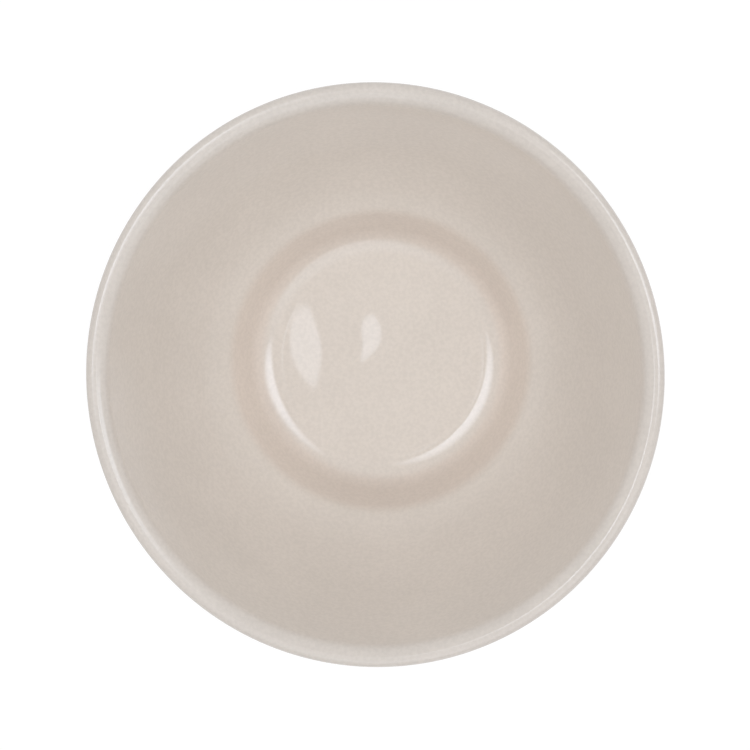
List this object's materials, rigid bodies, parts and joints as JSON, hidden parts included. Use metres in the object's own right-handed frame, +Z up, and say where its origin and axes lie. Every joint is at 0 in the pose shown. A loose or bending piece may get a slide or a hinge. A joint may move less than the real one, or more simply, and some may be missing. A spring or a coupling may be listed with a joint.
{
  "type": "latte bowl",
  "caption": "Round footed latte bowl with a rolled lip, a sunken well in its floor and a bare foot ring, for holding a hot drink or soup in the hands.",
  "frame": {"origin": "centre of the standing face, on the table", "axes": "+Z up along the bowl's axis of revolution; X and Y are alike"},
  "size_m": [0.15, 0.15, 0.08],
  "materials": {
    "clay": "unglazed fired stoneware",
    "slip": "fired slip",
    "glaze": "smooth gloss glaze, milky beige"
  },
  "bodies": {
    "root": {"bowl_body": "clay", "luting_slip": "slip", "foot_ring": "clay", "inner_glaze": "glaze", "outer_glaze": "glaze", "base_glaze": "glaze"}
  },
  "joints": []
}
